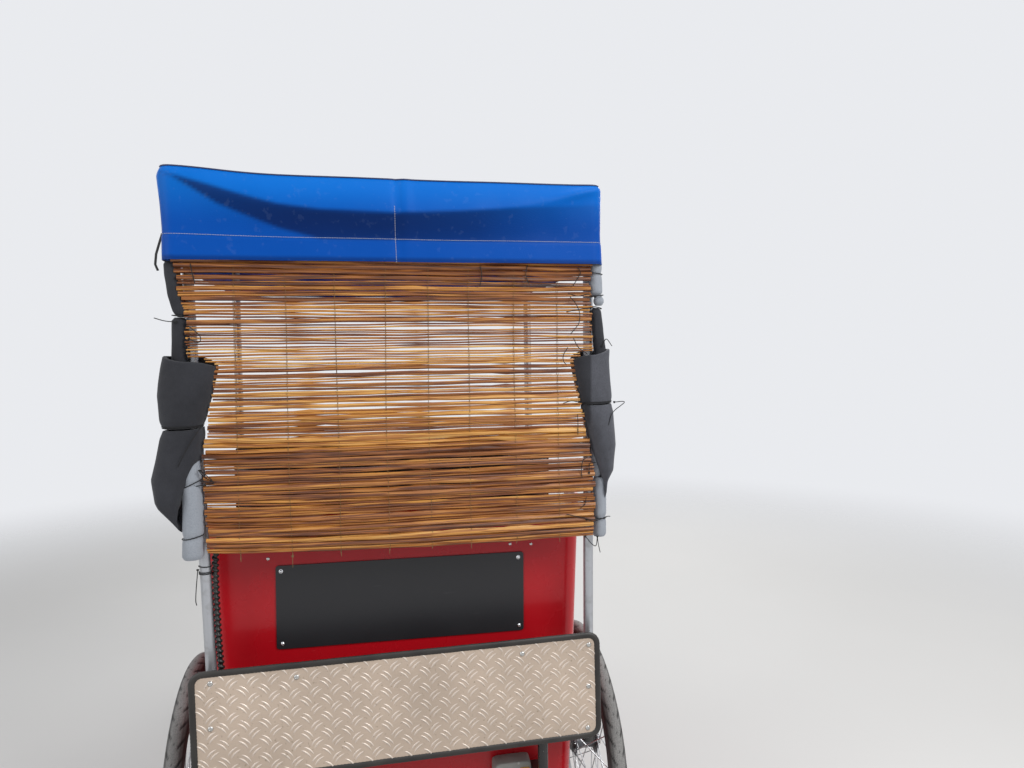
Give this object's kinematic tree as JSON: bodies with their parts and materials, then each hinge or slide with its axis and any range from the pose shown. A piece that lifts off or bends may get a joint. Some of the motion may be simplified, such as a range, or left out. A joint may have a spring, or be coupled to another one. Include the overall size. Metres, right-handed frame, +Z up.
{
  "type": "cycle rickshaw",
  "caption": "Three-wheeled pedal rickshaw with a moulded passenger tub, box canopy on posts, reed rear blind, tread plate bumper and a steered front wheel.",
  "frame": {"origin": "on the ground, under the middle of the vehicle's length and width", "axes": "+X forward, +Y to the rider's left, +Z up"},
  "size_m": [2.543, 1.15, 1.862],
  "materials": {
    "frame_black": "gloss paint",
    "tub_red": "gloss gel coat",
    "post_steel": "dull zinc",
    "bright_steel": "worn chrome",
    "alloy": "satin",
    "tread_alloy": "pressed tread pattern",
    "cast": "painted casting",
    "chain_steel": "oiled",
    "board": "painted board",
    "vinyl": "black vinyl",
    "canopy_blue": "coated cloth",
    "reed": "split reed",
    "foam_light": "closed cell foam",
    "foam_dark": "closed cell foam",
    "rubber_black": "matt",
    "tyre_grey": "dusty tread",
    "sign_black": "satin",
    "lamp_red": "lens",
    "headlamp_alloy": "bright"
  },
  "bodies": {
    "frame": {"main_frame": "frame_black", "rear_chassis": "frame_black", "bearing_blocks": "cast", "differential": "cast", "chain": "chain_steel", "body_tub": "tub_red", "bench_box": "board", "seat_cushion": "vinyl", "backrest_cushion": "vinyl", "rear_posts": "post_steel", "front_posts": "post_steel", "canopy_frame": "post_steel", "canopy_cover": "canopy_blue", "rear_blind": "reed", "post_sleeves_left": "foam_light", "post_sleeves_right": "foam_light", "foam_wraps_left": "foam_dark", "foam_wraps_right": "foam_dark", "cable_wrap": "rubber_black", "bumper_frame": "post_steel", "tread_plate": "tread_alloy", "plate_trim": "rubber_black", "sign_board": "sign_black", "tail_lamps": "lamp_red", "seat_post": "bright_steel", "saddle": "vinyl"},
    "steering": {"fork": "frame_black", "front_axle": "bright_steel", "stem": "alloy", "handlebar": "bright_steel", "grips": "rubber_black", "brake_levers": "alloy", "headlamp": "headlamp_alloy", "front_mudguard": "frame_black"},
    "front_wheel_set": {"front_wheel": "alloy", "front_tyre": "tyre_grey"},
    "rear_wheel_left_set": {"rear_left_wheel": "alloy", "rear_left_tyre": "tyre_grey", "half_shaft_left": "bright_steel"},
    "rear_wheel_right_set": {"rear_right_wheel": "alloy", "rear_right_tyre": "tyre_grey", "half_shaft_right": "bright_steel"},
    "crank": {"crankset": "alloy", "chainring": "alloy"},
    "pedal_left_set": {"pedal_left": "rubber_black"},
    "pedal_right_set": {"pedal_right": "rubber_black"}
  },
  "joints": [
    {"name": "steering_turn", "type": "hinge", "parent": "frame", "child": "steering", "pos_m": [0.76054, 0, 0.68139], "axis": [-0.342, 0, 0.9397], "range_deg": [-60, 60]},
    {"name": "front_wheel_spin", "type": "hinge", "parent": "steering", "child": "front_wheel_set", "pos_m": [0.9345, 0, 0.335], "axis": [0, 1, 0], "continuous": true},
    {"name": "rear_wheel_left_spin", "type": "hinge", "parent": "frame", "child": "rear_wheel_left_set", "pos_m": [-0.9155, 0.529, 0.335], "axis": [0, 1, 0], "continuous": true},
    {"name": "rear_wheel_right_spin", "type": "hinge", "parent": "frame", "child": "rear_wheel_right_set", "pos_m": [-0.9155, -0.529, 0.335], "axis": [0, 1, 0], "continuous": true},
    {"name": "crank_spin", "type": "hinge", "parent": "frame", "child": "crank", "pos_m": [0.2645, 0, 0.29], "axis": [0, 1, 0], "continuous": true},
    {"name": "pedal_left_spin", "type": "hinge", "parent": "crank", "child": "pedal_left_set", "pos_m": [0.4295, 0.128, 0.29], "axis": [0, 1, 0], "continuous": true},
    {"name": "pedal_right_spin", "type": "hinge", "parent": "crank", "child": "pedal_right_set", "pos_m": [0.0995, -0.128, 0.29], "axis": [0, 1, 0], "continuous": true}
  ]
}
